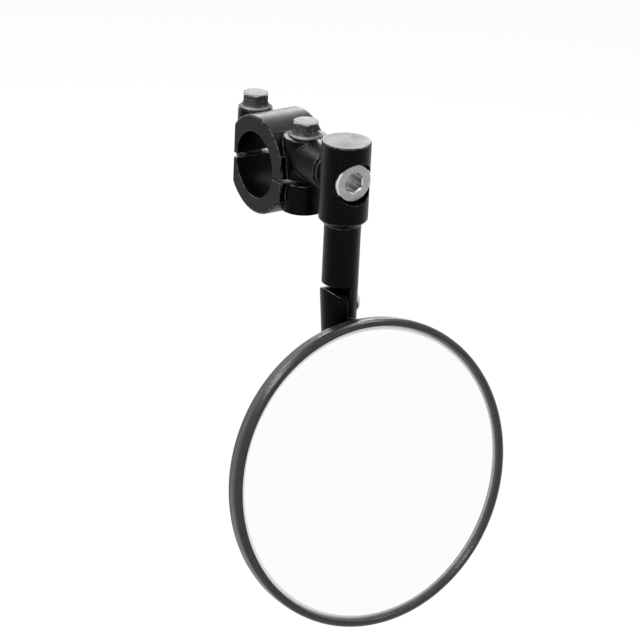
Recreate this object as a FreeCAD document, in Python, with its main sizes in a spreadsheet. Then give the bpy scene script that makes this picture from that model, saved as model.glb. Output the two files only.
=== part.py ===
import FreeCAD, Part
import Sketcher
import math
import os
import re

# Round handlebar mirror: a split clamp, a post that swings on the clamp, a folding half-lap
# joint and a round glass on a ball joint. The origin is the centre of the clamp bore, +X runs
# along the handlebar, -Y points at the rider and +Z is up.

V = FreeCAD.Vector
doc = FreeCAD.newDocument("handlebar_mirror")
sheet = doc.addObject("Spreadsheet::Sheet", "Sizes")

SIZES = {
    # clamp
    "bar_radius": 11.1,
    "clamp_width": 19.0,
    "ring_radius": 16.6,
    "rear_flat": 12.8,
    "split_above": 0.1,
    "split_below": 1.4,
    "ear_reach": 16.0,
    "ear_height": 7.9,
    "bolt_offset": 15.5,
    "front_boss_radius": 7.2,
    "rear_boss_radius": 5.75,
    "boss_top": 13.75,
    "seat_sink": 0.1,
    "seat_clearance": 0.4,
    "boss_bottom": 11.5,
    "edge_chamfer": 0.5,
    # clamp bolts
    "bolt_radius": 2.5,
    "bolt_clearance": 0.25,
    "bolt_reach": 24.2,
    "flange_radius": 5.1,
    "flange_thickness": 1.5,
    "bolt_flats": 8.0,
    "bolt_head_height": 5.3,
    # arm screw and post
    "pivot_height": 7.3,
    "post_offset": 39.5,
    "arm_boss_radius": 7.0,
    "arm_boss_chamfer": 0.7,
    "pivot_screw_radius": 4.0,
    "pivot_clearance": 0.05,
    "pivot_head_radius": 6.5,
    "pivot_head_height": 8.0,
    "pivot_head_front": 5.5,
    "pivot_socket_flats": 6.0,
    "pivot_socket_depth": 4.0,
    "pivot_screw_reach": 16.0,
    "counterbore_radius": 7.0,
    "spring_thickness": 1.2,
    "shim_thickness": 0.6,
    "spotface_depth": 0.8,
    "spotface_clearance": 0.3,
    "post_radius": 8.0,
    "post_above": 12.6,
    "post_below": 13.5,
    "cone_height": 2.0,
    # rods and lap joint
    "rod_radius": 6.0,
    "lap_drop": 43.7,
    "lap_shoulder": 7.9,
    "lap_end_extra": 0.4,
    "lap_washer_thickness": 0.6,
    "lap_washer_radius": 5.6,
    "lap_screw_radius": 2.0,
    "lap_head_radius": 3.8,
    "lap_head_top_radius": 1.8,
    "lap_head_height": 2.2,
    "lap_head_seat": 4.95,
    "lap_spotface_radius": 4.1,
    "lap_socket_flats": 2.5,
    "lap_socket_depth": 1.3,
    "lap_screw_reach": 9.0,
    "lap_tip_gap": 0.5,
    "fold_rest": 8.0,
    "thread_fit": 0.02,
    # flatted end and ball stud
    "ball_drop": 54.0,
    "ball_reach": 8.2,
    "flat_above": 13.5,
    "flat_thickness": 3.9,
    "flat_end_extra": 0.6,
    "ball_radius": 4.5,
    "neck_radius": 2.0,
    "collar_flats": 8.0,
    "collar_thickness": 1.4,
    "stud_radius": 2.5,
    "stud_clearance": 0.05,
    "stud_tail": 0.9,
    "nut_flats": 8.0,
    "nut_thickness": 4.0,
    "stud_washer_radius": 4.4,
    "stud_washer_thickness": 1.0,
    # socket
    "mirror_tilt_rest": 2.9,
    "mirror_pan_rest": -1.5,
    "ball_fit": 0.05,
    "liner_wall": 0.95,
    "socket_split": 0.5,
    "socket_back": 4.2,
    "socket_cone": 45.0,
    "socket_boss_radius": 10.5,
    "retainer_chamfer": 0.6,
    "retainer_screw_circle": 8.1,
    "retainer_screw_radius": 1.0,
    "retainer_head_radius": 1.9,
    "retainer_head_height": 1.2,
    "retainer_screw_reach": 7.5,
    "retainer_tip_gap": 0.8,
    # mirror head
    "bezel_radius": 51.4,
    "bezel_wall": 1.7,
    "lip_cover": 1.0,
    "lip_slope": 0.35,
    "lip_round": 0.3,
    "back_lip_cover": 2.3,
    "back_lip_gap": 0.5,
    "bezel_back": 4.3,
    "bezel_front": 10.6,
    "bezel_round": 1.75,
    "bezel_back_round": 1.0,
    "bead_back": 7.05,
    "bead_step": 0.2,
    "housing_front": 6.3,
    "housing_wall": 1.8,
    "housing_back_inner": 2.0,
    "housing_back_outer": 4.6,
    "dome_radius": 260.0,
    "housing_edge_back": 5.3,
    "rib_thickness": 1.6,
    "pad_edge": 0.6,
    "glass_sag": 0.8,
    "glass_thickness": 2.0,
    "bevel_width": 2.1,
    "bevel_depth": 0.4,
    "seat_gap": 0.05,
}

for row, (name, value) in enumerate(SIZES.items(), start=1):
    sheet.set("A%d" % row, name)
    sheet.set("B%d" % row, str(value))
    sheet.setAlias("B%d" % row, name)
doc.recompute()


def bind(text):
    """The expression with each size name pointed at the sheet."""
    return re.sub(r"[a-z]+(_[a-z]+)+", lambda found: "Sizes." + found.group(0), text)


def number(text):
    """The present value of an expression of sizes."""
    value = sheet.evalExpression(bind(str(text)))
    return float(getattr(value, "Value", value))


def new_body(label):
    body = doc.addObject("PartDesign::Body", label)
    body.Label = label
    return body


def new_sketch(body, plane, name, offset=None):
    """A sketch on one of the body's own planes, moved along the plane's normal."""
    sketch = body.newObject("Sketcher::SketchObject", name)
    support = [item for item in body.Origin.OriginFeatures if item.Role == plane][0]
    sketch.AttachmentSupport = [(support, "")]
    sketch.MapMode = "FlatFace"
    if offset is not None:
        sketch.setExpression("AttachmentOffset.Base.z", bind(offset))
    return sketch


def pin_point(sketch, geometry, end, across, up):
    for kind, text in (("DistanceX", across), ("DistanceY", up)):
        index = sketch.addConstraint(Sketcher.Constraint(kind, -1, 1, geometry, end, number(text)))
        sketch.setExpression("Constraints[%d]" % index, bind(text))


def add_circle(sketch, across, up, radius):
    circle = Part.Circle(V(number(across), number(up), 0), V(0, 0, 1), number(radius))
    geometry = sketch.addGeometry(circle)
    pin_point(sketch, geometry, 3, across, up)
    index = sketch.addConstraint(Sketcher.Constraint("Radius", geometry, number(radius)))
    sketch.setExpression("Constraints[%d]" % index, bind(radius))


def add_outline(sketch, points, arcs=None):
    """A closed outline through points given as expressions. arcs maps the index of a side to
    its radius and to +1 or -1, the side of the chord on which the arc bulges (left, right)."""
    arcs = arcs or {}
    count = len(points)
    spots = [V(number(across), number(up), 0) for across, up in points]
    for side in range(count):
        start = spots[side]
        end = spots[(side + 1) % count]
        if side in arcs:
            radius, turn = arcs[side]
            chord = end.sub(start)
            half = chord.Length / 2
            size = number(radius)
            left = V(-chord.y, chord.x, 0).normalize()
            rise = size - math.sqrt(max(size * size - half * half, 0))
            middle = start.add(end).multiply(0.5).add(left.multiply(turn * rise))
            sketch.addGeometry(Part.Arc(start, middle, end))
        else:
            sketch.addGeometry(Part.LineSegment(start, end))
    ends = []
    for side in range(count):
        if side in arcs and arcs[side][1] > 0:
            ends.append((2, 1))
        else:
            ends.append((1, 2))
    for side in range(count):
        follower = (side + 1) % count
        joint = Sketcher.Constraint("Coincident", side, ends[side][1], follower, ends[follower][0])
        sketch.addConstraint(joint)
        pin_point(sketch, side, ends[side][0], points[side][0], points[side][1])
    for side, (radius, turn) in arcs.items():
        index = sketch.addConstraint(Sketcher.Constraint("Radius", side, number(radius)))
        sketch.setExpression("Constraints[%d]" % index, bind(radius))


def add_hexagon(sketch, flats, upright=False):
    """A hexagon about the sketch's origin with two corners on its horizontal or upright axis."""
    places = []
    for step in range(6):
        angle = 60 * step + (90 if upright else 0)
        places.append(("%s / sqrt(3) * cos(%d)" % (flats, angle),
                       "%s / sqrt(3) * sin(%d)" % (flats, angle)))
    add_outline(sketch, places)


def pad(body, sketch, length, both_ways=False, reverse=False):
    feature = body.newObject("PartDesign::Pad", sketch.Name + "_pad")
    feature.Profile = sketch
    feature.setExpression("Length", bind(length))
    if both_ways:
        feature.SideType = "Symmetric"
    feature.Reversed = reverse
    return feature


def pocket(body, sketch, length=None, both_ways=False, reverse=False):
    feature = body.newObject("PartDesign::Pocket", sketch.Name + "_pocket")
    feature.Profile = sketch
    if length is None:
        feature.Type = "ThroughAll"
    else:
        feature.setExpression("Length", bind(length))
    if both_ways:
        feature.SideType = "Symmetric"
    feature.Reversed = reverse
    return feature


def revolve(body, sketch):
    feature = body.newObject("PartDesign::Revolution", sketch.Name + "_turned")
    feature.Profile = sketch
    feature.ReferenceAxis = (sketch, ["V_Axis"])
    feature.Angle = 360
    return feature


def groove(body, sketch):
    feature = body.newObject("PartDesign::Groove", sketch.Name + "_groove")
    feature.Profile = sketch
    feature.ReferenceAxis = (sketch, ["V_Axis"])
    feature.Angle = 360
    return feature


def polar(body, originals, count):
    feature = body.newObject("PartDesign::PolarPattern", originals[-1].Name + "_round")
    feature.Originals = originals
    axis = [item for item in body.Origin.OriginFeatures if item.Role == "Z_Axis"][0]
    feature.Axis = (axis, [""])
    feature.Angle = 360
    feature.Occurrences = count
    body.Tip = feature
    return feature


def round_edges(body, feature, chosen, size, kind="PartDesign::Chamfer"):
    """Chamfer or round the edges of a feature for which chosen(edge) holds."""
    doc.recompute()
    names = ["Edge%d" % (index + 1) for index, edge in enumerate(feature.Shape.Edges) if chosen(edge)]
    finish = body.newObject(kind, feature.Name + "_edge")
    finish.Base = (feature, names)
    finish.setExpression("Size" if kind.endswith("Chamfer") else "Radius", bind(size))
    return finish


def place(item, across, back, up, turn=None):
    """Put a piece at a point and turn it about the line through it that runs along X."""
    if turn is not None:
        item.Placement = FreeCAD.Placement(V(0, 0, 0), FreeCAD.Rotation(V(1, 0, 0), number(turn)))
    for letter, text in (("x", across), ("y", back), ("z", up)):
        item.setExpression("Placement.Base." + letter, bind(text))
    if turn is not None:
        item.setExpression("Placement.Rotation.Angle", bind(turn))


def place_head(item):
    """Put a piece of the mirror head at the ball's centre, tilted and panned with the head."""
    item.setExpression("Placement", bind(
        "placement(vector(0; %s; %s); rotation(vector(1; 0; 0); %s)"
        " * rotation(vector(0; 1; 0); mirror_pan_rest))" % (BALL_Y, BALL_Z, HEAD_TURN)))


# Places that pieces share, as expressions of the sizes.
HEAD_TURN = "90 - fold_rest - mirror_tilt_rest"
POST_SEAT = "(post_offset - post_radius + spotface_depth)"
BOSS_FACE = "(post_offset - post_radius + spotface_depth - shim_thickness)"
HEAD_SEAT = "(pivot_head_height - pivot_head_front)"
LAP_END = "(rod_radius + lap_end_extra)"
LAP_SIDE = "(rod_radius + lap_end_extra / 2)"
LAP_HEIGHT = "(pivot_height - lap_drop)"
BALL_Y = "-post_offset - ball_reach * cos(fold_rest) - ball_drop * sin(fold_rest)"
BALL_Z = LAP_HEIGHT + " + ball_reach * sin(fold_rest) - ball_drop * cos(fold_rest)"
LINER_INNER = "(ball_radius + ball_fit)"
LINER_OUTER = "(ball_radius + ball_fit + liner_wall)"
SOCKET = "(ball_radius + ball_fit * 2 + liner_wall)"
NUT_SEAT = "(ball_reach + flat_thickness + stud_washer_thickness)"
GROOVE_RADIUS = "(bezel_radius - bezel_wall)"
GLASS_RADIUS = "(bezel_radius - bezel_wall - seat_gap)"
LIP_RADIUS = "(bezel_radius - bezel_wall - lip_cover)"
BACK_LIP_RADIUS = "(bezel_radius - bezel_wall - back_lip_cover)"
HOUSING_BEND = "(bezel_radius - bezel_wall - back_lip_cover - back_lip_gap)"
GLASS_EDGE = "(housing_front + pad_edge + glass_thickness)"


def clamp_half(label, sign, turn):
    """Half ring with a front ear, a boss for each bolt and half of the bar's bore."""
    body = new_body(label)
    upper = sign == ""
    height = "boss_top" if upper else "boss_bottom"
    split = "split_above" if upper else "split_below"
    ring = new_sketch(body, "YZ_Plane", label + "_ring")
    add_outline(ring, [
        ("-sqrt(ring_radius ^ 2 - " + split + " ^ 2)", sign + split),
        ("rear_flat", sign + "sqrt(ring_radius ^ 2 - rear_flat ^ 2)"),
        ("rear_flat", sign + split)], {0: ("ring_radius", turn)})
    pad(body, ring, "clamp_width", both_ways=True)
    ear = new_sketch(body, "YZ_Plane", label + "_ear")
    add_outline(ear, [
        ("-ear_reach", sign + split), ("-bar_radius", sign + split),
        ("-bar_radius", sign + "ear_height"), ("-ear_reach", sign + "ear_height")])
    pad(body, ear, "clamp_width", both_ways=True)
    for name, place_y, radius in (
            ("_front_boss", "-bolt_offset", "front_boss_radius"),
            ("_rear_boss", "bolt_offset", "rear_boss_radius")):
        boss = new_sketch(body, "XY_Plane", label + name, sign + split)
        add_circle(boss, "0", place_y, radius)
        pad(body, boss, height + " - " + split, reverse=not upper)
    if upper:
        arm_boss = new_sketch(body, "XZ_Plane", label + "_arm_boss", "bolt_offset")
        add_circle(arm_boss, "0", "pivot_height", "arm_boss_radius")
        grown = pad(body, arm_boss, BOSS_FACE + " - bolt_offset")
        face, across = number(BOSS_FACE), number("arm_boss_radius")

        def boss_edge(edge):
            curve = edge.Curve
            return (isinstance(curve, Part.Circle) and abs(curve.Radius - across) < 1e-4
                    and abs(edge.CenterOfMass.y + face) < 1e-4)

        round_edges(body, grown, boss_edge, "arm_boss_chamfer")
    bore = new_sketch(body, "YZ_Plane", label + "_bore")
    add_circle(bore, "0", "0", "bar_radius")
    cut = pocket(body, bore, both_ways=True)
    width = number("clamp_width / 2")
    outer = number("ring_radius")

    def rim_edge(edge):
        across = abs(abs(edge.CenterOfMass.x) - width) < 1e-4
        curve = edge.Curve
        return across and isinstance(curve, Part.Circle) and abs(curve.Radius - outer) < 1e-4

    round_edges(body, cut, rim_edge, "edge_chamfer")
    for name, place_y, radius in (
            ("_front_hole", "-bolt_offset", "bolt_radius"),
            ("_rear_hole", "bolt_offset", "bolt_radius")):
        hole = new_sketch(body, "XY_Plane", label + name)
        add_circle(hole, "0", place_y, radius + (" + bolt_clearance" if upper else " + thread_fit"))
        pocket(body, hole, both_ways=True)
    if upper:
        for name, place_y in (("_front_seat", "-bolt_offset"), ("_rear_seat", "bolt_offset")):
            seat = new_sketch(body, "XY_Plane", label + name, "boss_top - seat_sink")
            add_circle(seat, "0", place_y, "flange_radius + seat_clearance")
            pocket(body, seat, "bolt_head_height", reverse=True)
        thread = new_sketch(body, "XZ_Plane", label + "_thread", BOSS_FACE)
        add_circle(thread, "0", "pivot_height", "pivot_screw_radius + thread_fit")
        tip = "(post_offset - " + HEAD_SEAT + " - pivot_screw_reach)"
        pocket(body, thread, BOSS_FACE + " - " + tip + " + edge_chamfer * 1.6")
    return body


def clamp_bolts():
    """Two flange bolts, the rear one a mirror image of the front one."""
    bolt = new_body("clamp_bolt_front")
    turned = new_sketch(bolt, "XZ_Plane", "bolt_profile")
    add_outline(turned, [
        ("0", "-bolt_reach"), ("bolt_radius * 0.8", "-bolt_reach"),
        ("bolt_radius", "-bolt_reach + bolt_radius * 0.2"), ("bolt_radius", "0"),
        ("flange_radius", "0"), ("flange_radius", "flange_thickness * 0.4"),
        ("bolt_flats / 2", "flange_thickness * 1.2"), ("0", "flange_thickness * 1.2")])
    revolve(bolt, turned)
    hexagon = new_sketch(bolt, "XY_Plane", "bolt_hexagon", "flange_thickness * 0.4")
    add_hexagon(hexagon, "bolt_flats")
    pad(bolt, hexagon, "bolt_head_height - flange_thickness * 0.4")
    corner = new_sketch(bolt, "XZ_Plane", "bolt_corner")
    add_outline(corner, [
        ("bolt_flats * 0.49", "bolt_head_height"), ("bolt_flats * 0.64", "bolt_head_height"),
        ("bolt_flats * 0.64", "bolt_head_height - bolt_flats * 0.1")])
    groove(bolt, corner)
    place(bolt, "0", "-bolt_offset", "boss_top - seat_sink")
    rear = doc.addObject("Part::Mirroring", "clamp_bolt_rear")
    rear.Source = bolt
    rear.Normal = V(0, 1, 0)
    group = doc.addObject("Part::Compound", "clamp_bolts")
    group.Links = [bolt, rear]
    group.Label = "clamp_bolts"
    return group


def washer(label, outer, inner, thickness, offset=None, slot=None):
    """A flat ring on its own XY plane, cut through once where it is a spring washer."""
    body = new_body(label)
    ring = new_sketch(body, "XY_Plane", label + "_ring", offset)
    add_circle(ring, "0", "0", outer)
    add_circle(ring, "0", "0", inner)
    pad(body, ring, thickness)
    if slot is not None:
        gap = new_sketch(body, "XY_Plane", label + "_slot")
        add_outline(gap, [
            ("0", "-" + slot), ("(" + outer + ") * 1.2", "-" + slot),
            ("(" + outer + ") * 1.2", slot), ("0", slot)])
        pocket(body, gap, both_ways=True)
    return body


def pivot_screw():
    """Socket-head cap screw that carries the post; its head faces the rider."""
    body = new_body("pivot_screw")
    turned = new_sketch(body, "XZ_Plane", "pivot_screw_profile")
    add_outline(turned, [
        ("0", "-pivot_screw_reach"), ("pivot_screw_radius * 0.85", "-pivot_screw_reach"),
        ("pivot_screw_radius", "-pivot_screw_reach + pivot_screw_radius * 0.15"),
        ("pivot_screw_radius", "0"), ("pivot_head_radius", "0"),
        ("pivot_head_radius", "pivot_head_height - edge_chamfer * 0.9"),
        ("pivot_head_radius - edge_chamfer * 0.9", "pivot_head_height"),
        ("0", "pivot_head_height")])
    revolve(body, turned)
    socket = new_sketch(body, "XY_Plane", "pivot_screw_socket", "pivot_head_height")
    add_hexagon(socket, "pivot_socket_flats", upright=True)
    pocket(body, socket, "pivot_socket_depth")
    mouth = new_sketch(body, "XZ_Plane", "pivot_screw_mouth")
    add_outline(mouth, [
        ("0", "pivot_head_height - edge_chamfer"),
        ("pivot_socket_flats / 2", "pivot_head_height - edge_chamfer"),
        ("pivot_socket_flats / 2 + edge_chamfer", "pivot_head_height"),
        ("0", "pivot_head_height")])
    groove(body, mouth)
    place(body, "0", "-post_offset + " + HEAD_SEAT, "pivot_height", "90")
    return body


def tongue_end(body, name, sign, turn, centre):
    """Round the end of a lap tongue about the lap axis."""
    side = "sqrt(" + LAP_END + " ^ 2 - " + LAP_SIDE + " ^ 2)"
    end = new_sketch(body, "YZ_Plane", name)
    level = centre + sign + side
    beyond = centre + sign + "(" + LAP_END + " * 1.2)"
    add_outline(end, [
        ("-" + LAP_SIDE, level), (LAP_SIDE, level),
        (LAP_SIDE, beyond), ("-" + LAP_SIDE, beyond)], {0: (LAP_END, turn)})
    pocket(body, end, both_ways=True)


def upper_arm():
    """Post, cone, rod and tongue turned from one bar; local zero is the arm screw's axis."""
    body = new_body("upper_arm")
    turned = new_sketch(body, "XZ_Plane", "upper_arm_profile")
    low = "-lap_drop - " + LAP_END
    add_outline(turned, [
        ("0", low), ("rod_radius", low), ("rod_radius", "-post_below - cone_height"),
        ("post_radius", "-post_below"), ("post_radius", "post_above - edge_chamfer * 0.6"),
        ("post_radius - edge_chamfer * 0.6", "post_above"), ("0", "post_above")])
    revolve(body, turned)
    cross = new_sketch(body, "XZ_Plane", "upper_arm_cross_bore")
    add_circle(cross, "0", "0", "pivot_screw_radius + pivot_clearance")
    pocket(body, cross, both_ways=True)
    recess = new_sketch(body, "XZ_Plane", "upper_arm_counterbore",
                        "-" + HEAD_SEAT + " - spring_thickness")
    add_circle(recess, "0", "0", "counterbore_radius")
    pocket(body, recess, "post_radius * 2", reverse=True)
    seat = new_sketch(body, "XZ_Plane", "upper_arm_spotface", "spotface_depth - post_radius")
    add_circle(seat, "0", "0", "arm_boss_radius + spotface_clearance")
    pocket(body, seat, "post_radius")
    lap = new_sketch(body, "XZ_Plane", "upper_arm_lap")
    shoulder = "lap_shoulder - lap_drop"
    add_outline(lap, [
        ("-rod_radius * 1.2", shoulder), ("lap_washer_thickness / 2", shoulder),
        ("lap_washer_thickness / 2", low + " - rod_radius * 0.2"), ("-rod_radius * 1.2", low + " - rod_radius * 0.2")])
    pocket(body, lap, both_ways=True)
    tongue_end(body, "upper_arm_end", " - ", -1, "-lap_drop")
    hole = new_sketch(body, "YZ_Plane", "upper_arm_lap_hole")
    add_circle(hole, "0", "-lap_drop", "lap_screw_radius + pivot_clearance")
    pocket(body, hole, both_ways=True)
    seat = new_sketch(body, "YZ_Plane", "upper_arm_head_seat", "lap_head_seat")
    add_circle(seat, "0", "-lap_drop", "lap_spotface_radius")
    pocket(body, seat, "rod_radius", reverse=True)
    place(body, "0", "-post_offset", "pivot_height")
    return body


def lap_screw():
    """Button-head screw of the folding joint; local +Z is the head's side."""
    body = new_body("lap_screw")
    turned = new_sketch(body, "XZ_Plane", "lap_screw_profile")
    add_outline(turned, [
        ("0", "-lap_screw_reach"), ("lap_screw_radius * 0.85", "-lap_screw_reach"),
        ("lap_screw_radius", "-lap_screw_reach + lap_screw_radius * 0.15"),
        ("lap_screw_radius", "0"), ("lap_head_radius", "0"),
        ("lap_head_radius", "lap_head_height * 0.12"),
        ("lap_head_top_radius", "lap_head_height"), ("0", "lap_head_height")],
        {5: ("lap_head_height * 1.8", -1)})
    revolve(body, turned)
    socket = new_sketch(body, "XY_Plane", "lap_screw_socket", "lap_head_height")
    add_hexagon(socket, "lap_socket_flats")
    pocket(body, socket, "lap_socket_depth")
    body.Placement = FreeCAD.Placement(V(0, 0, 0), FreeCAD.Rotation(V(0, 1, 0), 90))
    place(body, "lap_head_seat", "-post_offset", LAP_HEIGHT)
    return body


def lap_washer():
    body = washer("lap_washer", "lap_washer_radius", "lap_screw_radius + pivot_clearance",
                  "lap_washer_thickness")
    body.Placement = FreeCAD.Placement(V(0, 0, 0), FreeCAD.Rotation(V(0, 1, 0), 90))
    place(body, "-lap_washer_thickness / 2", "-post_offset", LAP_HEIGHT)
    return body


def lower_arm():
    """Rod with the lower tongue and, behind the mirror, a flatted end for the ball stud.
    Local zero is the lap axis."""
    body = new_body("lower_arm")
    turned = new_sketch(body, "XZ_Plane", "lower_arm_profile")
    end = "(rod_radius + flat_end_extra)"
    low = "-ball_drop - " + end
    add_outline(turned, [
        ("0", low), ("rod_radius", low), ("rod_radius", LAP_END), ("0", LAP_END)])
    revolve(body, turned)
    lap = new_sketch(body, "XZ_Plane", "lower_arm_lap")
    add_outline(lap, [
        ("-lap_washer_thickness / 2", "-lap_shoulder"), ("rod_radius * 1.2", "-lap_shoulder"),
        ("rod_radius * 1.2", LAP_END + " * 1.2"), ("-lap_washer_thickness / 2", LAP_END + " * 1.2")])
    pocket(body, lap, both_ways=True)
    tongue_end(body, "lower_arm_tongue", " + ", 1, "0")
    hole = new_sketch(body, "YZ_Plane", "lower_arm_thread")
    add_circle(hole, "0", "0", "lap_screw_radius + thread_fit")
    pocket(body, hole, "lap_screw_reach - lap_head_seat + lap_tip_gap")
    flat = new_sketch(body, "YZ_Plane", "lower_arm_flat")
    add_outline(flat, [
        ("-rod_radius * 1.2", "flat_above - ball_drop"), ("0", "flat_above - ball_drop"),
        ("0", low + " - rod_radius * 0.2"), ("-rod_radius * 1.2", low + " - rod_radius * 0.2")])
    pocket(body, flat, both_ways=True)
    side = "(rod_radius + flat_end_extra / 2)"
    level = "-ball_drop - sqrt(" + end + " ^ 2 - " + side + " ^ 2)"
    tip = new_sketch(body, "XZ_Plane", "lower_arm_tip")
    add_outline(tip, [
        ("-" + side, level), (side, level), (side, low + " - rod_radius * 0.2"), ("-" + side, low + " - rod_radius * 0.2")],
        {0: (end, -1)})
    pocket(body, tip, both_ways=True)
    stud = new_sketch(body, "XZ_Plane", "lower_arm_stud_hole")
    add_circle(stud, "0", "-ball_drop", "stud_radius + stud_clearance")
    pocket(body, stud, both_ways=True)
    seat = new_sketch(body, "XZ_Plane", "lower_arm_nut_seat", "-flat_thickness")
    add_circle(seat, "0", "-ball_drop", "stud_washer_radius + spotface_clearance * 2")
    pocket(body, seat, "rod_radius")
    place(body, "0", "-post_offset", LAP_HEIGHT, "-fold_rest")
    return body


def ball_stud():
    """Ball, neck, hexagonal collar and threaded shank; local zero is the ball's centre and
    local +Z points out of the mirror's face."""
    body = new_body("ball_stud")
    turned = new_sketch(body, "XZ_Plane", "ball_stud_profile")
    tail = "-" + NUT_SEAT + " - nut_thickness - stud_tail"
    shelf = "collar_thickness - ball_reach"
    add_outline(turned, [
        ("0", tail), ("stud_radius * 0.85", tail), ("stud_radius", tail + " + stud_radius * 0.15"),
        ("stud_radius", shelf), ("neck_radius", shelf),
        ("neck_radius", "-sqrt(ball_radius ^ 2 - neck_radius ^ 2)"), ("0", "ball_radius")],
        {5: ("ball_radius", -1)})
    revolve(body, turned)
    collar = new_sketch(body, "XY_Plane", "ball_stud_collar", "-ball_reach")
    add_hexagon(collar, "collar_flats")
    pad(body, collar, "collar_thickness")
    place(body, "0", BALL_Y, BALL_Z, "90 - fold_rest")
    return body


def stud_nut():
    body = new_body("stud_nut")
    hexagon = new_sketch(body, "XY_Plane", "stud_nut_hexagon", "-" + NUT_SEAT + " - nut_thickness")
    add_hexagon(hexagon, "nut_flats")
    add_circle(hexagon, "0", "0", "stud_radius + thread_fit")
    pad(body, hexagon, "nut_thickness")
    place(body, "0", BALL_Y, BALL_Z, "90 - fold_rest")
    return body


def ball_liner():
    """Thin plastic cup round the ball, open at the back for the neck."""
    body = new_body("ball_liner")
    turned = new_sketch(body, "XZ_Plane", "ball_liner_profile")
    add_outline(turned, [
        (LINER_INNER + " * sin(socket_cone)", "-" + LINER_INNER + " * cos(socket_cone)"),
        (LINER_OUTER + " * sin(socket_cone)", "-" + LINER_OUTER + " * cos(socket_cone)"),
        ("0", LINER_OUTER), ("0", LINER_INNER)],
        {1: (LINER_OUTER, -1), 3: (LINER_INNER, 1)})
    revolve(body, turned)
    place_head(body)
    return body


def socket_retainer():
    """Ring screwed to the housing that closes the socket behind the ball."""
    body = new_body("socket_retainer")
    turned = new_sketch(body, "XZ_Plane", "retainer_profile")
    add_outline(turned, [
        ("sqrt(" + SOCKET + " ^ 2 - socket_split ^ 2)", "-socket_split"),
        (SOCKET + " * sin(socket_cone)", "-" + SOCKET + " * cos(socket_cone)"),
        ("socket_back * tan(socket_cone)", "-socket_back"),
        ("socket_boss_radius - retainer_chamfer", "-socket_back"),
        ("socket_boss_radius", "retainer_chamfer - socket_back"),
        ("socket_boss_radius", "-socket_split")], {0: (SOCKET, 1)})
    revolve(body, turned)
    hole = new_sketch(body, "XY_Plane", "retainer_hole")
    add_circle(hole, "retainer_screw_circle", "0", "retainer_screw_radius + pivot_clearance")
    through = pocket(body, hole, both_ways=True)
    seat = new_sketch(body, "XY_Plane", "retainer_seat", "retainer_head_height - socket_back")
    add_circle(seat, "retainer_screw_circle", "0", "retainer_head_radius + pivot_clearance * 2")
    sunk = pocket(body, seat, "retainer_head_height * 2")
    polar(body, [through, sunk], 3)
    place_head(body)
    return body


def retainer_screws():
    """Three small socket screws, heads flush with the retainer's back."""
    screws = []
    for index in range(3):
        head = doc.addObject("Part::Cylinder", "retainer_head_%d" % index)
        head.setExpression("Radius", bind("retainer_head_radius"))
        head.setExpression("Height", bind("retainer_head_height"))
        shank = doc.addObject("Part::Cylinder", "retainer_shank_%d" % index)
        shank.setExpression("Radius", bind("retainer_screw_radius"))
        shank.setExpression("Height", bind("retainer_screw_reach"))
        key = doc.addObject("Part::Prism", "retainer_key_%d" % index)
        key.Polygon = 6
        key.setExpression("Circumradius", bind("retainer_head_radius * 0.45"))
        key.setExpression("Height", bind("retainer_head_height * 0.6"))
        for solid in (head, shank, key):
            place(solid, "retainer_screw_circle * cos(120 * %d)" % index,
                  "retainer_screw_circle * sin(120 * %d)" % index, "-socket_back")
        blank = doc.addObject("Part::Fuse", "retainer_blank_%d" % index)
        blank.Base = head
        blank.Tool = shank
        screw = doc.addObject("Part::Cut", "retainer_screw_%d" % index)
        screw.Base = blank
        screw.Tool = key
        screws.append(screw)
    group = doc.addObject("Part::Compound", "retainer_screws")
    group.Links = screws
    group.Label = "retainer_screws"
    place_head(group)
    return group


def mirror_housing():
    """Moulded round back: domed wall, socket boss and ribs that carry the pad."""
    body = new_body("mirror_housing")
    turned = new_sketch(body, "XZ_Plane", "housing_profile")
    inner = "housing_back_inner + housing_wall"
    add_outline(turned, [
        ("0", SOCKET), ("sqrt(" + SOCKET + " ^ 2 - socket_split ^ 2)", "-socket_split"),
        ("socket_boss_radius", "-socket_split"), ("socket_boss_radius", "housing_back_inner"),
        (HOUSING_BEND, "housing_back_outer"), (GLASS_RADIUS, "housing_edge_back"),
        (GLASS_RADIUS, "housing_front"), (HOUSING_BEND + " - housing_wall * 1.1", "housing_front"),
        ("socket_boss_radius", inner), ("socket_boss_radius", "housing_front"),
        ("0", "housing_front")],
        {0: (SOCKET, 1), 3: ("dome_radius", -1), 7: ("dome_radius", 1)})
    revolve(body, turned)
    hole = new_sketch(body, "XY_Plane", "housing_screw_hole", "-socket_split")
    add_circle(hole, "retainer_screw_circle", "0", "retainer_screw_radius + thread_fit")
    drilled = pocket(body, hole, "retainer_screw_reach - socket_back + socket_split + retainer_tip_gap",
                     reverse=True)
    polar(body, [drilled], 3)
    rib = new_sketch(body, "XZ_Plane", "housing_rib")
    add_outline(rib, [
        ("socket_boss_radius - rib_thickness / 3", "housing_back_inner + housing_wall / 2"),
        ("socket_boss_radius - rib_thickness / 3", "housing_front"), (HOUSING_BEND + " - housing_wall * 0.55", "housing_front"),
        (HOUSING_BEND + " - housing_wall * 0.55", "housing_front - housing_wall * 0.6")])
    wall = pad(body, rib, "rib_thickness", both_ways=True)
    polar(body, [wall], 8)
    place_head(body)
    return body


def bow(radius):
    """Radius of the mirror's curve where it meets a circle of this radius."""
    return "((" + radius + ") ^ 2 + glass_sag ^ 2) / (2 * glass_sag)"


def backing_pad():
    body = new_body("backing_pad")
    turned = new_sketch(body, "XZ_Plane", "pad_profile")
    add_outline(turned, [
        ("0", "housing_front"), (GLASS_RADIUS, "housing_front"),
        (GLASS_RADIUS, "housing_front + pad_edge"),
        ("0", "housing_front + pad_edge + glass_sag")], {2: (bow(GLASS_RADIUS), -1)})
    revolve(body, turned)
    place_head(body)
    return body


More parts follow.
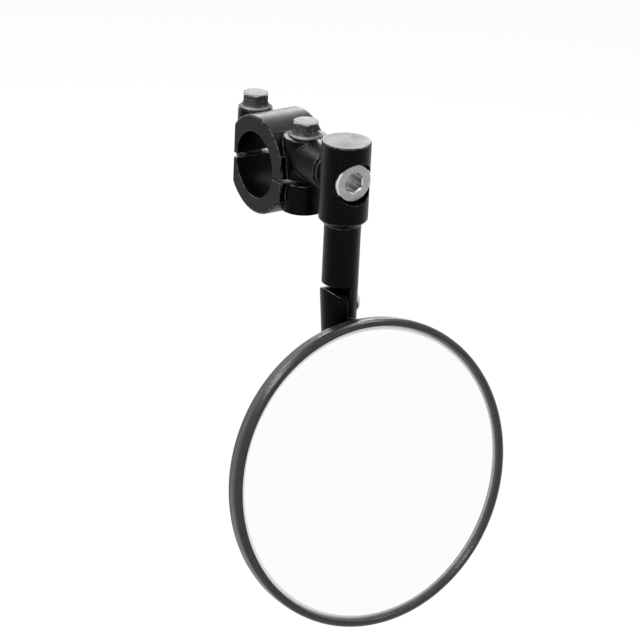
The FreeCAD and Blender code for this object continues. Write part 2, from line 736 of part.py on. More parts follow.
def mirror_glass():
    """Slightly convex round glass with a bevelled front edge."""
    body = new_body("mirror_glass")
    turned = new_sketch(body, "XZ_Plane", "glass_profile")
    inner = "(" + GLASS_RADIUS + " - bevel_width)"
    back = "housing_front + pad_edge"
    add_outline(turned, [
        ("0", back + " + glass_sag"), (GLASS_RADIUS, back),
        (GLASS_RADIUS, GLASS_EDGE + " - bevel_depth"), (inner, GLASS_EDGE),
        ("0", GLASS_EDGE + " + glass_sag")],
        {0: (bow(GLASS_RADIUS), 1), 3: (bow(inner), -1)})
    revolve(body, turned)
    place_head(body)
    return body


def rim_bezel():
    """Rubber ring whose lips grip the glass in front and the housing's edge behind."""
    body = new_body("rim_bezel")
    turned = new_sketch(body, "XZ_Plane", "bezel_profile")
    skirt = "(bezel_radius - bead_step)"
    slope = "bevel_depth / bevel_width"
    bevel_start = "(" + GLASS_RADIUS + " - bevel_width)"
    lip = GLASS_EDGE + " + seat_gap - " + slope + " * (" + LIP_RADIUS + " - " + bevel_start + ")"
    root = GLASS_EDGE + " + seat_gap - " + slope + " * (" + GROOVE_RADIUS + " - " + bevel_start + ")"
    add_outline(turned, [
        (BACK_LIP_RADIUS, "bezel_back"), (skirt + " - bezel_back_round", "bezel_back"),
        (skirt, "bezel_back + bezel_back_round"),
        (skirt, "bead_back"), ("bezel_radius", "bead_back + bead_step"),
        ("bezel_radius", "bezel_front - bezel_round"),
        ("bezel_radius - bezel_round", "bezel_front"),
        (LIP_RADIUS + " + lip_slope + lip_round", "bezel_front"),
        (LIP_RADIUS + " + lip_slope", "bezel_front - lip_round"),
        (LIP_RADIUS, lip), (GROOVE_RADIUS, root),
        (GROOVE_RADIUS, "housing_edge_back - seat_gap"),
        (BACK_LIP_RADIUS, "housing_back_outer + seat_gap")],
        {1: ("bezel_back_round", -1), 5: ("bezel_round", -1), 7: ("lip_round", -1)})
    revolve(body, turned)
    place_head(body)
    return body


def pivot_shim():
    body = washer("pivot_shim", "(arm_boss_radius - arm_boss_chamfer)", "pivot_screw_radius + pivot_clearance",
                  "shim_thickness")
    place(body, "0", "-" + BOSS_FACE, "pivot_height", "90")
    return body


def pivot_spring():
    body = washer("pivot_spring", "(pivot_head_radius - spotface_clearance)",
                  "pivot_screw_radius + pivot_clearance * 4", "spring_thickness",
                  slot="spring_thickness / 2")
    place(body, "0", "-post_offset + " + HEAD_SEAT + " + spring_thickness", "pivot_height", "90")
    return body


def stud_washer():
    body = washer("stud_washer", "stud_washer_radius", "stud_radius + stud_clearance",
                  "stud_washer_thickness", "-" + NUT_SEAT)
    place(body, "0", BALL_Y, BALL_Z, "90 - fold_rest")
    return body


pieces = [
    clamp_half("clamp_upper", "", 1),
    clamp_half("clamp_lower", "-", -1),
    clamp_bolts(),
    pivot_shim(),
    pivot_screw(),
    pivot_spring(),
    upper_arm(),
    lap_screw(),
    lap_washer(),
    lower_arm(),
    ball_stud(),
    stud_washer(),
    stud_nut(),
    ball_liner(),
    socket_retainer(),
    retainer_screws(),
    mirror_housing(),
    backing_pad(),
    mirror_glass(),
    rim_bezel(),
]
doc.recompute()

for item in doc.Objects:
    if "Invalid" in item.State or "Error" in item.State:
        raise RuntimeError("%s did not build: %s" % (item.Name, item.State))
for piece in pieces:
    if piece.Shape.isNull() or not piece.Shape.isValid():
        raise RuntimeError("%s has no valid shape" % piece.Label)

os.makedirs("parts", exist_ok=True)
for piece in pieces:
    piece.Shape.exportStep("parts/%s.step" % piece.Label)
    print("%-18s solids %d volume %.1f mm3" % (
        piece.Label, len(piece.Shape.Solids), piece.Shape.Volume))
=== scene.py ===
import math

import bmesh
import bpy
from mathutils import Matrix, Vector


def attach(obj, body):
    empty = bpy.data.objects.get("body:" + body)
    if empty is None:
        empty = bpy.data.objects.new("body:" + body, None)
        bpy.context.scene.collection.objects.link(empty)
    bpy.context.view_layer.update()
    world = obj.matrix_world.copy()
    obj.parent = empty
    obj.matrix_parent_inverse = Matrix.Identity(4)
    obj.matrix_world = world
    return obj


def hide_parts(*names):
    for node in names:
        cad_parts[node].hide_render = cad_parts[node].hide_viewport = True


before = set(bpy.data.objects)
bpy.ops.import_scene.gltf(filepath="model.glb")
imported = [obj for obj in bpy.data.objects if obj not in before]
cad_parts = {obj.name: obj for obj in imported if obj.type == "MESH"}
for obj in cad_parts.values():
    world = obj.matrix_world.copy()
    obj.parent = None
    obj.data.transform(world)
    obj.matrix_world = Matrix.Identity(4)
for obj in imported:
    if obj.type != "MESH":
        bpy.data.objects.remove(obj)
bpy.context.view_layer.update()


# The clamp: two halves that close on the handlebar's tube. Each is milled from an
# aluminium bar, tumbled so that its edges are just broken, bead blasted and anodised
# black. The dye is thin on the broken edges, which shine a little.
class Wire:
    """A shader socket that takes Python's own arithmetic; a comparison gives 0 or 1."""

    def __init__(self, finish, socket):
        self.finish, self.socket = finish, socket

    def sum(self, operation, first, second=0.0):
        return self.finish.node("ShaderNodeMath", {"operation": operation}, {0: first, 1: second})

    def __add__(self, other):
        return self.sum("ADD", self, other)

    def __sub__(self, other):
        return self.sum("SUBTRACT", self, other)

    def __rsub__(self, other):
        return self.sum("SUBTRACT", other, self)

    def __mul__(self, other):
        return self.sum("MULTIPLY", self, other)

    def __gt__(self, other):
        return self.sum("GREATER_THAN", self, other)

    def __lt__(self, other):
        return self.sum("LESS_THAN", self, other)

    def __or__(self, other):
        return self.sum("MAXIMUM", self, other)

    def sine(self):
        return self.sum("SINE", self)

    def root(self):
        return self.sum("SQRT", self)

    def ramp(self, low, high, low_to=0.0, high_to=1.0):
        return self.finish.node("ShaderNodeMapRange", {}, {
            "Value": self, "From Min": low, "From Max": high, "To Min": low_to, "To Max": high_to})


class Finish:
    """A material under way; node() adds any node and returns an output of it as a Wire."""

    def __init__(self, name, **plain):
        self.material = bpy.data.materials.new(name)
        self.material.use_nodes = True
        self.nodes = self.material.node_tree.nodes
        self.shader = self.nodes["Principled BSDF"]
        self.feed(self.shader, {key.replace("_", " "): value for key, value in plain.items()})
        self.place = self.node("ShaderNodeTexCoord", {}, {}, "Object")

    def feed(self, node, inputs):
        for key, value in inputs.items():
            if isinstance(value, Wire):
                self.material.node_tree.links.new(value.socket, node.inputs[key])
            else:
                node.inputs[key].default_value = value

    def node(self, kind, settings, inputs, output=0):
        new = self.nodes.new(kind)
        for key, value in settings.items():
            setattr(new, key, value)
        self.feed(new, inputs)
        return Wire(self, new.outputs[output])

    def seen_from(self, matrix):
        """Object coordinates as a piece's own frame has them."""
        return self.node("ShaderNodeMapping", {"vector_type": "TEXTURE"}, {
            "Vector": self.place, "Location": matrix.translation,
            "Rotation": matrix.to_euler("XYZ")})

    def xyz(self, vector=None):
        return [self.node("ShaderNodeSeparateXYZ", {}, {"Vector": vector or self.place}, part)
                for part in "XYZ"]

    def noise(self, size, detail):
        """Noise whose spots are about as wide as the size, in metres."""
        return self.node("ShaderNodeTexNoise", {}, {
            "Vector": self.place, "Scale": 1 / size, "Detail": detail}, "Fac")

    def blend(self, amount, first, second):
        return self.node("ShaderNodeMix", {"data_type": "RGBA"}, {
            0: amount, 6: first, 7: second}, 2)

    def grey(self, amount, first, second, warm=0.0):
        """From one grey to another; warm tilts both a little towards the red."""
        dark, light = [(tone * (1 + warm), tone, tone * (1 - warm), 1) for tone in (first, second)]
        return self.blend(amount, dark, light)

    def bump(self, height, depth, strength):
        self.feed(self.shader, {"Normal": self.node("ShaderNodeBump", {}, {
            "Height": height, "Distance": depth, "Strength": strength}, "Normal")})

    def paint(self, *names):
        for name in names:
            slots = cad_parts[name].data.materials
            slots.clear()
            slots.append(self.material)


def turned_rings(finish, axis, pitch):
    """The tool's fine rings on a turned piece, and the distance from its axis."""
    x, y, z = finish.xyz(finish.seen_from(axis))
    away = (x * x + y * y).root()
    return ((z + away) * (2 * math.pi / pitch)).sine(), away


def black_anodise(name, axis=None):
    """Black dye in the blasted skin of aluminium; turned pieces keep faint tool rings."""
    skin = Finish(name, Metallic=1.0)
    cloud = skin.noise(0.005, 3.0)
    speck = skin.noise(0.0007, 2.0)
    skin.feed(skin.shader, {
        "Base Color": skin.grey(speck.ramp(0.6, 0.8), 0.006, 0.015),
        "Roughness": cloud.ramp(0.3, 0.7, 0.36, 0.44)})
    grain = skin.noise(0.0003, 1.0)
    if axis is not None:
        grain = grain + turned_rings(skin, axis, pitch=0.00018)[0] * 0.4
    skin.bump(grain, 0.000012, 0.5)
    return skin


def crease(mesh, angle=32):
    """Smooth shading that stops at edges sharper than the angle."""
    mesh.shade_smooth()
    mesh.set_sharp_from_angle(angle=math.radians(angle))


def settle(piece):
    """What a piece's modifiers make of it becomes its own plain mesh."""
    bpy.context.view_layer.update()
    seen = piece.evaluated_get(bpy.context.evaluated_depsgraph_get())
    done = bpy.data.meshes.new_from_object(seen)
    piece.modifiers.clear()
    piece.data = done


def eased(node, width, body, faces, edges):
    """A copy of a milled node with its sharp edges broken by a narrow bevel."""
    same_point, same_flat, smooth_up_to, broken_from = 2e-6, 0.05, 35, 44
    piece = bpy.data.objects.new(node + "_eased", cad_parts[node].data.copy())
    bpy.context.scene.collection.objects.link(piece)
    shape = bmesh.new()
    shape.from_mesh(piece.data)
    bmesh.ops.remove_doubles(shape, verts=shape.verts, dist=same_point)
    bmesh.ops.dissolve_limit(
        shape, angle_limit=math.radians(same_flat), verts=shape.verts, edges=shape.edges)
    shape.to_mesh(piece.data)
    shape.free()
    piece.data.materials.clear()
    for finish in (faces, edges):
        piece.data.materials.append(finish.material)
    crease(piece.data, smooth_up_to)
    broken = piece.modifiers.new("broken_edges", "BEVEL")
    broken.width = width
    broken.segments = 2
    broken.limit_method = "ANGLE"
    broken.angle_limit = math.radians(broken_from)
    broken.use_clamp_overlap = False
    broken.material = 1
    even = piece.modifiers.new("even_flats", "WEIGHTED_NORMAL")
    even.mode = "FACE_AREA_WITH_ANGLE"
    even.weight = 80
    even.keep_sharp = True
    settle(piece)
    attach(piece, body)
    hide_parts(node)


blasted = black_anodise("blasted_black_anodise")
rubbed = Finish("rubbed_anodised_edge", Metallic=1.0)
thin = rubbed.noise(0.0016, 3.0)
rubbed.feed(rubbed.shader, {
    "Base Color": rubbed.grey(thin.ramp(0.4, 0.75), 0.01, 0.1),
    "Roughness": thin.ramp(0.3, 0.7, 0.3, 0.42)})
rubbed.bump(rubbed.noise(0.0004, 2.0), 0.00001, 0.5)
tumbled_edge, turned_edge, forged_edge = 0.00022, 0.00018, 0.00025
eased("clamp_upper", tumbled_edge, "clamp", blasted, rubbed)
eased("clamp_lower", tumbled_edge, "clamp", blasted, rubbed)


# The clamp's two flange bolts: cold headed from steel wire, threads rolled, zinc plated.
# They go down through the upper half into the threads of the lower one. The hexagon's sides
# are painted darker than the flange's rim and the head's top: painted shade, the top lit from
# above.
class Growth:
    """A Geometry Nodes tree under way, with named inputs for its sizes."""

    def __init__(self, name, inputs):
        self.tree = bpy.data.node_groups.new(name, "GeometryNodeTree")
        face = self.tree.interface
        face.new_socket("Geometry", in_out="OUTPUT", socket_type="NodeSocketGeometry")
        self.keys = {}
        for label, kind in {"Geometry": "Geometry", **inputs, "Material": "Material"}.items():
            self.keys[label] = face.new_socket(
                label, in_out="INPUT", socket_type="NodeSocket" + kind).identifier
        self.given = self.tree.nodes.new("NodeGroupInput").outputs

    def node(self, kind, inputs, **settings):
        new = self.tree.nodes.new(kind)
        for key, value in settings.items():
            setattr(new, key, value)
        for key, values in inputs.items():
            for value in values if isinstance(values, list) else [values]:
                if isinstance(value, bpy.types.NodeSocket):
                    self.tree.links.new(value, new.inputs[key])
                else:
                    new.inputs[key].default_value = value
        return new.outputs[0]

    def maths(self, operation, first, second=0.0):
        return self.node("ShaderNodeMath", {0: first, 1: second}, operation=operation)

    def close(self, geometry):
        """The last nodes: instances made real, in one material."""
        real = self.node("GeometryNodeRealizeInstances", {"Geometry": geometry})
        painted = self.node("GeometryNodeSetMaterial", {
            "Geometry": real, "Material": self.given["Material"]})
        self.tree.links.new(painted, self.tree.nodes.new("NodeGroupOutput").inputs[0])

    def grow(self, name, mesh, matrix, finish, **sizes):
        """A plain mesh of what the tree makes from a blank, put in its place."""
        piece = bpy.data.objects.new(name, mesh)
        bpy.context.scene.collection.objects.link(piece)
        growing = piece.modifiers.new(name, "NODES")
        growing.node_group = self.tree
        growing[self.keys["Material"]] = finish.material
        for label, size in sizes.items():
            growing[self.keys[label.replace("_", " ")]] = size
        settle(piece)
        piece.data.transform(matrix)
        crease(piece.data)
        return piece


def lathe(name, rows, columns=96):
    """A mesh turned about Z. A row is a radius and a height, numbers or functions of the
    angle, from the underside up; a radius of nought closes an end."""
    shape = bmesh.new()
    rings = []
    for radius, height in rows:
        ring = []
        for step in range(1 if radius == 0 else columns):
            turn = 2 * math.pi * step / columns
            away = radius(turn) if callable(radius) else radius
            up = height(turn) if callable(height) else height
            ring.append(shape.verts.new((away * math.cos(turn), away * math.sin(turn), up)))
        rings.append(ring)
    for lower, upper in zip(rings, rings[1:]):
        for step in range(columns):
            corners = [lower[step % len(lower)], lower[(step + 1) % len(lower)],
                       upper[(step + 1) % len(upper)], upper[step % len(upper)]]
            shape.faces.new(list(dict.fromkeys(corners)))
    mesh = bpy.data.meshes.new(name)
    shape.to_mesh(mesh)
    shape.free()
    return mesh


def hexagon(flats, corner=0.568):
    """The distance from the middle to a hexagon's side at an angle, corners worn round."""
    def away(turn):
        side = math.radians((math.degrees(turn) + 1e-6) % 60 - 30)
        return min(flats / 2 / math.cos(side), flats * corner)
    return away


bolt_seat, bolt_offset = 0.01365, 0.0155
bolt_radius, bolt_reach, bolt_pitch = 0.0025, 0.0242, 0.0008
bolt_core, bolt_thread_start, thread_run_out = bolt_radius * 0.94, 0.0115, 0.0006
flange_radius, flange_edge, flange_slope = 0.0051, 0.0006, 1.09
bolt_flats, bolt_head = 0.008, 0.0053
chamfer_from, chamfer_slope = bolt_flats * 0.49, 0.667
fillet_out, fillet_down, fillet_up = 0.00025, 0.00027, 0.0002
small_round = 0.00012
bolt_side = hexagon(bolt_flats)


def above_flange(turn):
    return flange_edge + (flange_radius - bolt_side(turn)) * flange_slope


def below_chamfer(turn):
    return bolt_head - max(bolt_side(turn) - chamfer_from, 0) * chamfer_slope - small_round


bolt = lathe("flange_bolt", [
    (0, -bolt_reach), (bolt_radius * 0.8, -bolt_reach),
    (bolt_core, -bolt_reach + bolt_radius * 0.2), (bolt_core, 0),
    (flange_radius - small_round, 0), (flange_radius, small_round),
    (flange_radius, flange_edge - small_round),
    (flange_radius - small_round, flange_edge + small_round / 2),
    (lambda turn: bolt_side(turn) + fillet_out, lambda turn: above_flange(turn) - fillet_down),
    (bolt_side, lambda turn: above_flange(turn) + fillet_up),
    (bolt_side, below_chamfer),
    (lambda turn: bolt_side(turn) - 0.0001, lambda turn: below_chamfer(turn) + 0.00009),
    (bolt_flats * 0.478, bolt_head - 0.00003), (bolt_flats * 0.46, bolt_head),
    (0, bolt_head)])

fasteners = Growth("fasteners_round_a_circle", {
    "Count": "Int", "Circle Radius": "Float", "First Angle": "Float", "Thread Radius": "Float",
    "Thread Pitch": "Float", "Thread Length": "Float", "Thread Bottom": "Float"})
given = fasteners.given
turn = fasteners.maths("ADD", given["First Angle"], fasteners.maths(
    "MULTIPLY", fasteners.node("GeometryNodeInputIndex", {}),
    fasteners.maths("DIVIDE", 2 * math.pi, given["Count"])))
spot = fasteners.node("ShaderNodeVectorRotate", {
    "Vector": fasteners.node("ShaderNodeCombineXYZ", {"X": given["Circle Radius"]}),
    "Angle": turn}, rotation_type="Z_AXIS")
points = fasteners.node("GeometryNodePoints", {"Count": given["Count"], "Position": spot})
coil = fasteners.node("GeometryNodeCurveSpiral", {
    "Resolution": 20, "Start Radius": given["Thread Radius"], "End Radius": given["Thread Radius"],
    "Height": given["Thread Length"],
    "Rotations": fasteners.maths("DIVIDE", given["Thread Length"], given["Thread Pitch"])})
lowered = fasteners.node("GeometryNodeTransform", {
    "Geometry": coil,
    "Translation": fasteners.node("ShaderNodeCombineXYZ", {"Z": given["Thread Bottom"]})})
ridge = fasteners.node("GeometryNodeCurvePrimitiveCircle", {
    "Resolution": 3,
    "Radius": fasteners.maths("MULTIPLY", given["Thread Pitch"], 0.42)}, mode="RADIUS")
thread = fasteners.node("GeometryNodeCurveToMesh", {
    "Curve": lowered, "Profile Curve": ridge, "Fill Caps": True})
one = fasteners.node("GeometryNodeJoinGeometry", {"Geometry": [given["Geometry"], thread]})
fasteners.close(fasteners.node("GeometryNodeInstanceOnPoints", {
    "Points": points, "Instance": one}))

zinc = Finish("zinc_plated_bolt", Metallic=1.0)
height = zinc.xyz()[2] - bolt_seat
shade_from, shade_below_top = 0.0011, 0.0005
# Painted shade: the hexagon's sides and the slope above the flange's rim are darker, the top
# lighter.
painted_shade_sides = (height > shade_from) * (height < bolt_head - shade_below_top)
fleck = zinc.noise(0.0006, 2.0)
cloud = zinc.noise(0.0018, 3.0)
zinc.feed(zinc.shader, {
    "Base Color": zinc.blend(
        painted_shade_sides, zinc.grey(cloud.ramp(0.35, 0.65), 0.14, 0.22),
        zinc.grey(fleck.ramp(0.58, 0.78), 0.05, 0.28)),
    "Roughness": cloud.ramp(0.3, 0.7, 0.58, 0.68)})
zinc.bump(zinc.noise(0.0004, 1.0), 0.00001, 0.4)
bolts = fasteners.grow(
    "flange_bolts", bolt, Matrix.Translation((0, 0, bolt_seat)), zinc, Count=2,
    Circle_Radius=bolt_offset, First_Angle=math.pi / 2, Thread_Radius=bolt_radius * 0.92,
    Thread_Pitch=bolt_pitch, Thread_Length=bolt_reach - bolt_thread_start,
    Thread_Bottom=-bolt_reach + thread_run_out)
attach(bolts, "clamp")
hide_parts("clamp_bolts")


# The arm's screw: a large socket-head cap screw, turned and left as satin steel. It holds
# the post on the clamp's boss with a split spring washer under its head and a thin black
# plastic washer behind the post, so the arm turns stiffly.
def satin_steel(name, tone, axis, key=-1.0, rim=1.0):
    """Turned steel with fine rings about its axis and a few darker clouds; a painted highlight,
    a light grey ring, lies at the mouth of a key hole at one radius and on the edge beyond
    another."""
    mouth_width, painted_highlight_grey = 0.00025, (0.7, 0.7, 0.69, 1)
    steel = Finish(name, Metallic=1.0)
    rings, away = turned_rings(steel, axis, pitch=0.00016)
    cloud = steel.noise(0.002, 4.0)
    # Painted highlights: the key hole's mouth and the edge beyond the rim radius are painted light
    # grey.
    bright = (away > key) * (away < key + mouth_width) + (away > rim)
    turned = steel.grey(cloud.ramp(0.3, 0.7), tone * 0.86, tone * 1.08)
    steel.feed(steel.shader, {
        "Base Color": steel.blend(bright, turned, painted_highlight_grey),
        "Roughness": cloud.ramp(0.3, 0.7, 0.26, 0.36)})
    steel.bump(rings * 0.5 + steel.noise(0.0003, 1.0), 0.000008, 0.5)
    return steel


def standing(place, degrees, axis):
    """A frame at a place, turned about one axis."""
    return Matrix.Translation(place) @ Matrix.Rotation(math.radians(degrees), 4, axis)


post_y, pivot_z, fold_z = -0.0395, 0.0073, -0.0364
pivot = standing((0, post_y, pivot_z), 90, "X")
satin_steel("satin_steel_screw", 0.36, pivot, key=0.0031, rim=0.0061).paint("pivot_screw")
satin_steel("spring_steel", 0.3, pivot).paint("pivot_spring")
nylon = Finish("black_nylon", Roughness=0.5)
nylon.feed(nylon.shader, {"Base Color": nylon.grey(nylon.noise(0.001, 2.0), 0.01, 0.02)})
nylon.bump(nylon.noise(0.0004, 1.0), 0.00002, 0.4)
nylon.paint("pivot_shim", "lap_washer")


# The upper arm: post, cone, rod and tongue turned in one piece from aluminium bar, then
# bored, flatted and anodised black. Faint rings from the tool show in its skin.
post = Matrix.Translation((0, post_y, pivot_z))
upper_skin = black_anodise("turned_black_anodise", post)
eased("upper_arm", turned_edge, "upper_arm", upper_skin, rubbed)


# The lower arm: a rod with a tongue that folds on the upper arm's, and a flatted end
# behind the mirror that takes the ball's stud. Turned, milled and anodised like the upper.
rod_lean = -8
fold = standing((0, post_y, fold_z), rod_lean, "X")
lower_skin = black_anodise("turned_black_anodise_lower", fold)
eased("lower_arm", turned_edge, "lower_arm", lower_skin, rubbed)


# The folding joint's screw: a button head of bright steel, seated in the upper tongue and
# screwed into the lower one with a nylon washer between them.
lap_seat = 0.00495
lap = standing((lap_seat, post_y, fold_z), 90, "Y")
satin_steel("bright_button_head", 0.62, lap).paint("lap_screw")


# The ball stud behind the mirror: ball, neck and hexagonal collar turned from steel, with
# a rolled thread that a washer and nut draw tight on the lower arm's flatted end. The
# ball sits in a thin cup of natural acetal.
ball = Vector((0, -0.055136, -0.088733))
stud_axis = standing(ball, 90 + rod_lean, "X")
stud_steel = satin_steel("satin_steel_stud", 0.5, stud_axis)
stud_steel.paint("ball_stud", "stud_washer")
eased("stud_nut", forged_edge, "lower_arm", zinc, zinc)
stud_end, stud_pitch, stud_past_nut = 0.018, 0.0008, 0.0007
thread_coil = fasteners.grow(
    "stud_thread", bpy.data.meshes.new("stud_thread"), stud_axis, stud_steel, Count=1,
    Circle_Radius=0.0, First_Angle=0.0, Thread_Radius=0.00232, Thread_Pitch=stud_pitch,
    Thread_Length=stud_past_nut, Thread_Bottom=-stud_end + stud_pitch / 2)
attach(thread_coil, "lower_arm")
acetal = Finish("natural_acetal", Roughness=0.35)
acetal.feed(acetal.shader, {
    "Base Color": acetal.grey(acetal.noise(0.003, 2.0), 0.66, 0.74, warm=0.02)})
acetal.paint("ball_liner")


# The mirror's back: a round shell of glass-filled nylon, moulded with the ball's socket,
# ribs and a finely spark-eroded grain. A ring with three sunk screws closes the socket.
head_tilt, head_pan = 79.1, -1.5
head = standing(ball, head_tilt, "X") @ standing((0, 0, 0), head_pan, "Y")


def moulded_nylon(name, grain):
    """Black moulded plastic with an eroded grain, a little uneven in its gloss."""
    nylon = Finish(name, Specular_IOR_Level=0.4)
    cloud = nylon.noise(0.009, 3.0)
    pits = nylon.noise(grain, 3.0)
    nylon.feed(nylon.shader, {
        "Base Color": nylon.grey(pits.ramp(0.35, 0.7), 0.012, 0.024),
        "Roughness": cloud.ramp(0.3, 0.7, 0.42, 0.54)})
    nylon.bump(pits, 0.00005, 0.7)
    return nylon


moulded_nylon("grained_nylon_back", 0.0005).paint("mirror_housing")
moulded_nylon("grained_nylon_ring", 0.0004).paint("socket_retainer")
screw_head, head_height, key_depth = 0.0019, 0.0012, 0.0007
screw_radius, screw_reach, screw_pitch = 0.001, 0.0075, 0.0004
screw_core, screw_circle, screw_seat = screw_radius * 0.9, 0.0081, 0.0042
key = hexagon(screw_head * 0.9 * math.sqrt(3) / 2, 0.577)
small_screw = lathe("socket_screw", [
    (0, key_depth), (key, key_depth), (key, 0.00005), (lambda turn: key(turn) + 0.00008, 0),
    (screw_head - small_round, 0), (screw_head, small_round), (screw_head, head_height),
    (screw_core, head_height), (screw_core, screw_reach - 0.0003),
    (screw_radius * 0.6, screw_reach), (0, screw_reach)], 48)
tiny = satin_steel("plated_small_screws", 0.45, head)
small_screws = fasteners.grow(
    "retainer_screw_set", small_screw, head @ Matrix.Translation((0, 0, -screw_seat)), tiny,
    Count=3, Circle_Radius=screw_circle, First_Angle=0.0, Thread_Radius=screw_radius * 0.88,
    Thread_Pitch=screw_pitch, Thread_Length=0.0055, Thread_Bottom=head_height + screw_pitch)
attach(small_screws, "mirror_head")
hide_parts("retainer_screws")


# The pad between the back's ribs and the glass: closed-cell foam, die cut, self-adhesive.
foam = Finish("closed_cell_foam", Roughness=0.9)
cells = foam.noise(0.0006, 2.0)
foam.feed(foam.shader, {"Base Color": foam.grey(cells, 0.04, 0.08)})
foam.bump(cells, 0.0001, 0.6)
foam.paint("backing_pad")


# The mirror itself: slightly convex float glass, silvered, with a narrow edge ground to a
# slope that the rubber lip grips. It is swept round from its section in fine steps.
sweep = Growth("section_swept_round", {"Path Radius": "Float", "Steps": "Int"})
given = sweep.given
section = sweep.node("GeometryNodeMeshToCurve", {"Mesh": given["Geometry"]})
path = sweep.node("GeometryNodeCurvePrimitiveCircle", {
    "Resolution": given["Steps"], "Radius": given["Path Radius"]}, mode="RADIUS")
swept = sweep.node("GeometryNodeCurveToMesh", {
    "Curve": path, "Profile Curve": section, "Fill Caps": False})
sweep.close(sweep.node("GeometryNodeMergeByDistance", {"Geometry": swept, "Distance": 1e-6}))
path_radius, sweep_steps = 0.03, 240


def section_mesh(name, outline, closed):
    """A section's points, radius and height, as a line of edges that the sweep can follow."""
    mesh = bpy.data.meshes.new(name)
    edges = [(step, step + 1) for step in range(len(outline) - 1)]
    if closed:
        edges.append((len(outline) - 1, 0))
    mesh.from_pydata([(radius - path_radius, -height, 0) for radius, height in outline], edges, [])
    return mesh


def arc(middle, radius, first, last, steps):
    """Points on an arc of a section, angles in degrees from the outward direction."""
    turns = [math.radians(first + (last - first) * step / steps) for step in range(steps + 1)]
    return [(middle[0] + radius * math.cos(turn), middle[1] + radius * math.sin(turn))
            for turn in turns]


def faced_out(mesh):
    """Faces turned outwards on a closed mesh."""
    shape = bmesh.new()
    shape.from_mesh(mesh)
    bmesh.ops.recalc_face_normals(shape, faces=shape.faces)
    shape.to_mesh(mesh)
    shape.free()


glass_back, glass_edge, glass_sag = 0.0069, 0.0089, 0.0008
glass_radius, ground_width, ground_depth = 0.04965, 0.0021, 0.0004
face_radius = glass_radius - ground_width


def crown(base, reach, rings=24):
    """Points of a shallow spherical crown from its middle out to its rim."""
    return [(reach * ring / rings, base + glass_sag * (1 - (ring / rings) ** 2))
            for ring in range(rings + 1)]


def round_place(finish):
    """A point's place in the mirror's own frame, and its distance from the axis."""
    x, y, z = finish.xyz(finish.seen_from(head))
    return x, y, z, (x * x + y * y).root()


glass_outline = (crown(glass_back, glass_radius) + [(glass_radius, glass_edge - ground_depth)]
                 + crown(glass_edge, face_radius)[::-1])
silver = Finish("silvered_glass", Metallic=1.0)
z, away = round_place(silver)[2:]
slope_start, slope_end, side_top = face_radius + 0.00005, face_radius + 0.0012, glass_back + 0.0011
ground = (away > slope_start) | (z < side_top)
silvering = (0.965, 0.97, 0.985, 1)
edge_grey = silver.grey(away.ramp(slope_start, slope_end), 0.95, 0.8)
silver.feed(silver.shader, {
    "Base Color": silver.blend(ground, silvering, edge_grey),
    "Metallic": ground.ramp(0.0, 1.0, 1.0, 0.5),
    "Roughness": ground.ramp(0.0, 1.0, 0.008, 0.35)})
silver.bump(silver.noise(0.01, 2.0), 0.0000005, 0.2)
glass = sweep.grow(
    "silvered_mirror", section_mesh("glass_section", glass_outline, False), head, silver,
    Path_Radius=path_radius, Steps=sweep_steps)
faced_out(glass.data)
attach(glass, "mirror_head")
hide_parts("mirror_glass")


# The rim: one moulded ring of rubber, stretched over the glass and the back so that its
# lips grip both. Its skin has a fine streaky grain that runs round the ring.
rim_radius, rim_groove, rim_skirt = 0.0514, 0.0497, 0.0512
front, back, bead, bead_step = 0.0106, 0.0043, 0.00705, 0.00004
outer_round, back_round, lip_round = 0.00175, 0.001, 0.0003
lip, back_lip = rim_groove - 0.001, rim_groove - 0.0023
groove_back, lip_back = 0.00525, 0.00465
slope = ground_depth / ground_width
seat = 0.00005


def on_ground(radius):
    """The height at which the lip rests on the glass's ground slope."""
    return glass_edge + seat - slope * (radius - face_radius)


rim_outline = (
    [(back_lip, back)]
    + arc((rim_skirt - back_round, back + back_round), back_round, -90, 0, 8)
    + [(rim_skirt, bead - 0.0001), (rim_skirt + bead_step, bead),
       (rim_radius - bead_step, bead + 0.00016), (rim_radius, bead + 0.00026)]
    + arc((rim_radius - outer_round, front - outer_round), outer_round, 0, 90, 14)
    + arc((lip + 0.00065, front - lip_round), lip_round, 90, 180, 5)
    + [(lip, on_ground(lip)), (rim_groove, on_ground(rim_groove)),
       (rim_groove, groove_back), (back_lip, lip_back)])
rubber = Finish("streaky_black_rubber", Specular_IOR_Level=0.45)
x, y, z, away = round_place(rubber)
round_scale, across_scale = 260, 2600
along = rubber.node("ShaderNodeCombineXYZ", {}, {
    "X": x * round_scale, "Y": y * round_scale, "Z": z * across_scale})
streak = rubber.node("ShaderNodeTexNoise", {"noise_dimensions": "4D"}, {
    "Vector": along, "W": away * across_scale, "Scale": 1.0, "Detail": 3.0}, "Fac")
cloud = rubber.noise(0.006, 3.0)
# Painted highlight: the lip's inner edge, all round, is a lighter grey where its slope catches the
# light; the grain bump is left off there.
painted_lip_highlight = (away < lip + 0.0002) * (z > glass_edge - 0.0005)
skin = rubber.grey(streak.ramp(0.3, 0.7), 0.004, 0.022)
lip_highlight_grey = rubber.grey(cloud.ramp(0.35, 0.65), 0.035, 0.07)
rubber.feed(rubber.shader, {
    "Base Color": rubber.blend(painted_lip_highlight, skin, lip_highlight_grey),
    "Roughness": cloud.ramp(0.3, 0.7, 0.25, 0.33)})
rubber.bump((streak + rubber.noise(0.0004, 2.0) * 0.4) * (1 - painted_lip_highlight), 0.00006, 0.8)
rim = sweep.grow(
    "rubber_rim", section_mesh("rim_section", rim_outline, True), head, rubber,
    Path_Radius=path_radius, Steps=sweep_steps)
faced_out(rim.data)
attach(rim, "mirror_head")
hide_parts("rim_bezel")


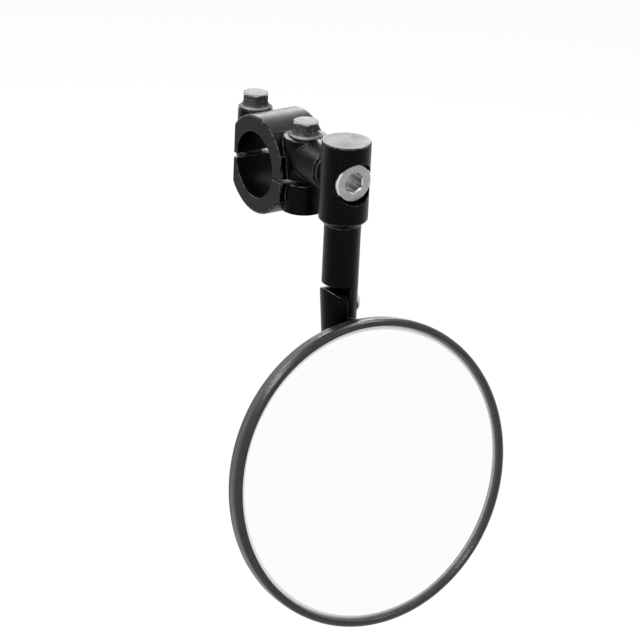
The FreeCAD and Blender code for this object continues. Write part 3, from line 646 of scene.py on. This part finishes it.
# The studio: a pale floor well below the mirror, a white surround, four soft lamps and
# the camera that stands where the photograph's did.
floor_reach, floor_height = 4, -0.32
corners = [(-1, -1), (1, -1), (1, 1), (-1, 1)]
floor_mesh = bpy.data.meshes.new("floor")
floor_mesh.from_pydata(
    [(x * floor_reach, y * floor_reach, floor_height) for x, y in corners], [], [(0, 1, 2, 3)])
floor = bpy.data.objects.new("floor", floor_mesh)
bpy.context.scene.collection.objects.link(floor)
pale = Finish("pale_floor", Roughness=0.8)
pale.feed(pale.shader, {"Base Color": pale.grey(pale.noise(0.02, 2.0), 0.84, 0.86)})
background_rays = ("Is Camera Ray", "Is Glossy Ray", "Is Transmission Ray")
rays = pale.nodes.new("ShaderNodeLightPath")
camera_ray, glossy_ray, clear_ray = [Wire(pale, rays.outputs[kind]) for kind in background_rays]
seen = camera_ray * 0.92 + glossy_ray + clear_ray
mixed = pale.node("ShaderNodeMixShader", {}, {
    0: seen, 1: Wire(pale, pale.shader.outputs[0]),
    2: pale.node("ShaderNodeEmission", {}, {"Color": (1, 1, 1, 1), "Strength": 1.0})})
pale.feed(pale.nodes["Material Output"], {"Surface": mixed})
floor_mesh.materials.append(pale.material)

world = bpy.data.worlds.new("studio")
bpy.context.scene.world = world
world.use_nodes = True
tree = world.node_tree
surround = tree.nodes["Background"]
surround.inputs["Color"].default_value = (1, 1, 1, 1)
rays = tree.nodes.new("ShaderNodeLightPath")
seen = rays.outputs[background_rays[0]]
for kind in background_rays[1:]:
    either = tree.nodes.new("ShaderNodeMath")
    either.operation = "MAXIMUM"
    tree.links.new(seen, either.inputs[0])
    tree.links.new(rays.outputs[kind], either.inputs[1])
    seen = either.outputs[0]
level = tree.nodes.new("ShaderNodeMapRange")
level.inputs["To Min"].default_value = 0.4
level.inputs["To Max"].default_value = 1.0
tree.links.new(seen, level.inputs["Value"])
tree.links.new(level.outputs[0], surround.inputs["Strength"])


def lamp(name, place, aim, size, power):
    light = bpy.data.lights.new(name, "AREA")
    light.shape = "RECTANGLE"
    light.size, light.size_y = size
    light.energy = power
    thing = bpy.data.objects.new(name, light)
    thing.location = place
    thing.rotation_euler = (Vector(aim) - Vector(place)).to_track_quat("-Z", "Y").to_euler()
    bpy.context.scene.collection.objects.link(thing)


middle = (0, -0.04, -0.06)
lamp("long_softbox", (0.5, 0.1, 0.85), middle, (1.1, 0.16), 6.5)
lamp("behind", (0.52, 0.78, 0.34), middle, (0.55, 0.25), 4.8)
lamp("behind_left", (-0.28, 0.7, 0.5), middle, (0.3, 0.3), 3)
lamp("overhead_left", (-0.5, -0.1, 0.75), middle, (1.0, 0.16), 8)

camera = bpy.data.objects.new("camera", bpy.data.cameras.new("camera"))
camera.data.lens = 173.49
camera.data.sensor_width = 36
camera.data.clip_start = 0.01
camera.matrix_world = Matrix((
    (0.84084836, 0.18056978, -0.51026325, -0.516862),
    (-0.53950275, 0.35572679, -0.76314824, -0.802073),
    (0.04371279, 0.91698037, 0.39653018, 0.355430),
    (0, 0, 0, 1)))
bpy.context.scene.collection.objects.link(camera)
bpy.context.scene.camera = camera
bpy.context.scene.view_settings.view_transform = "Standard"
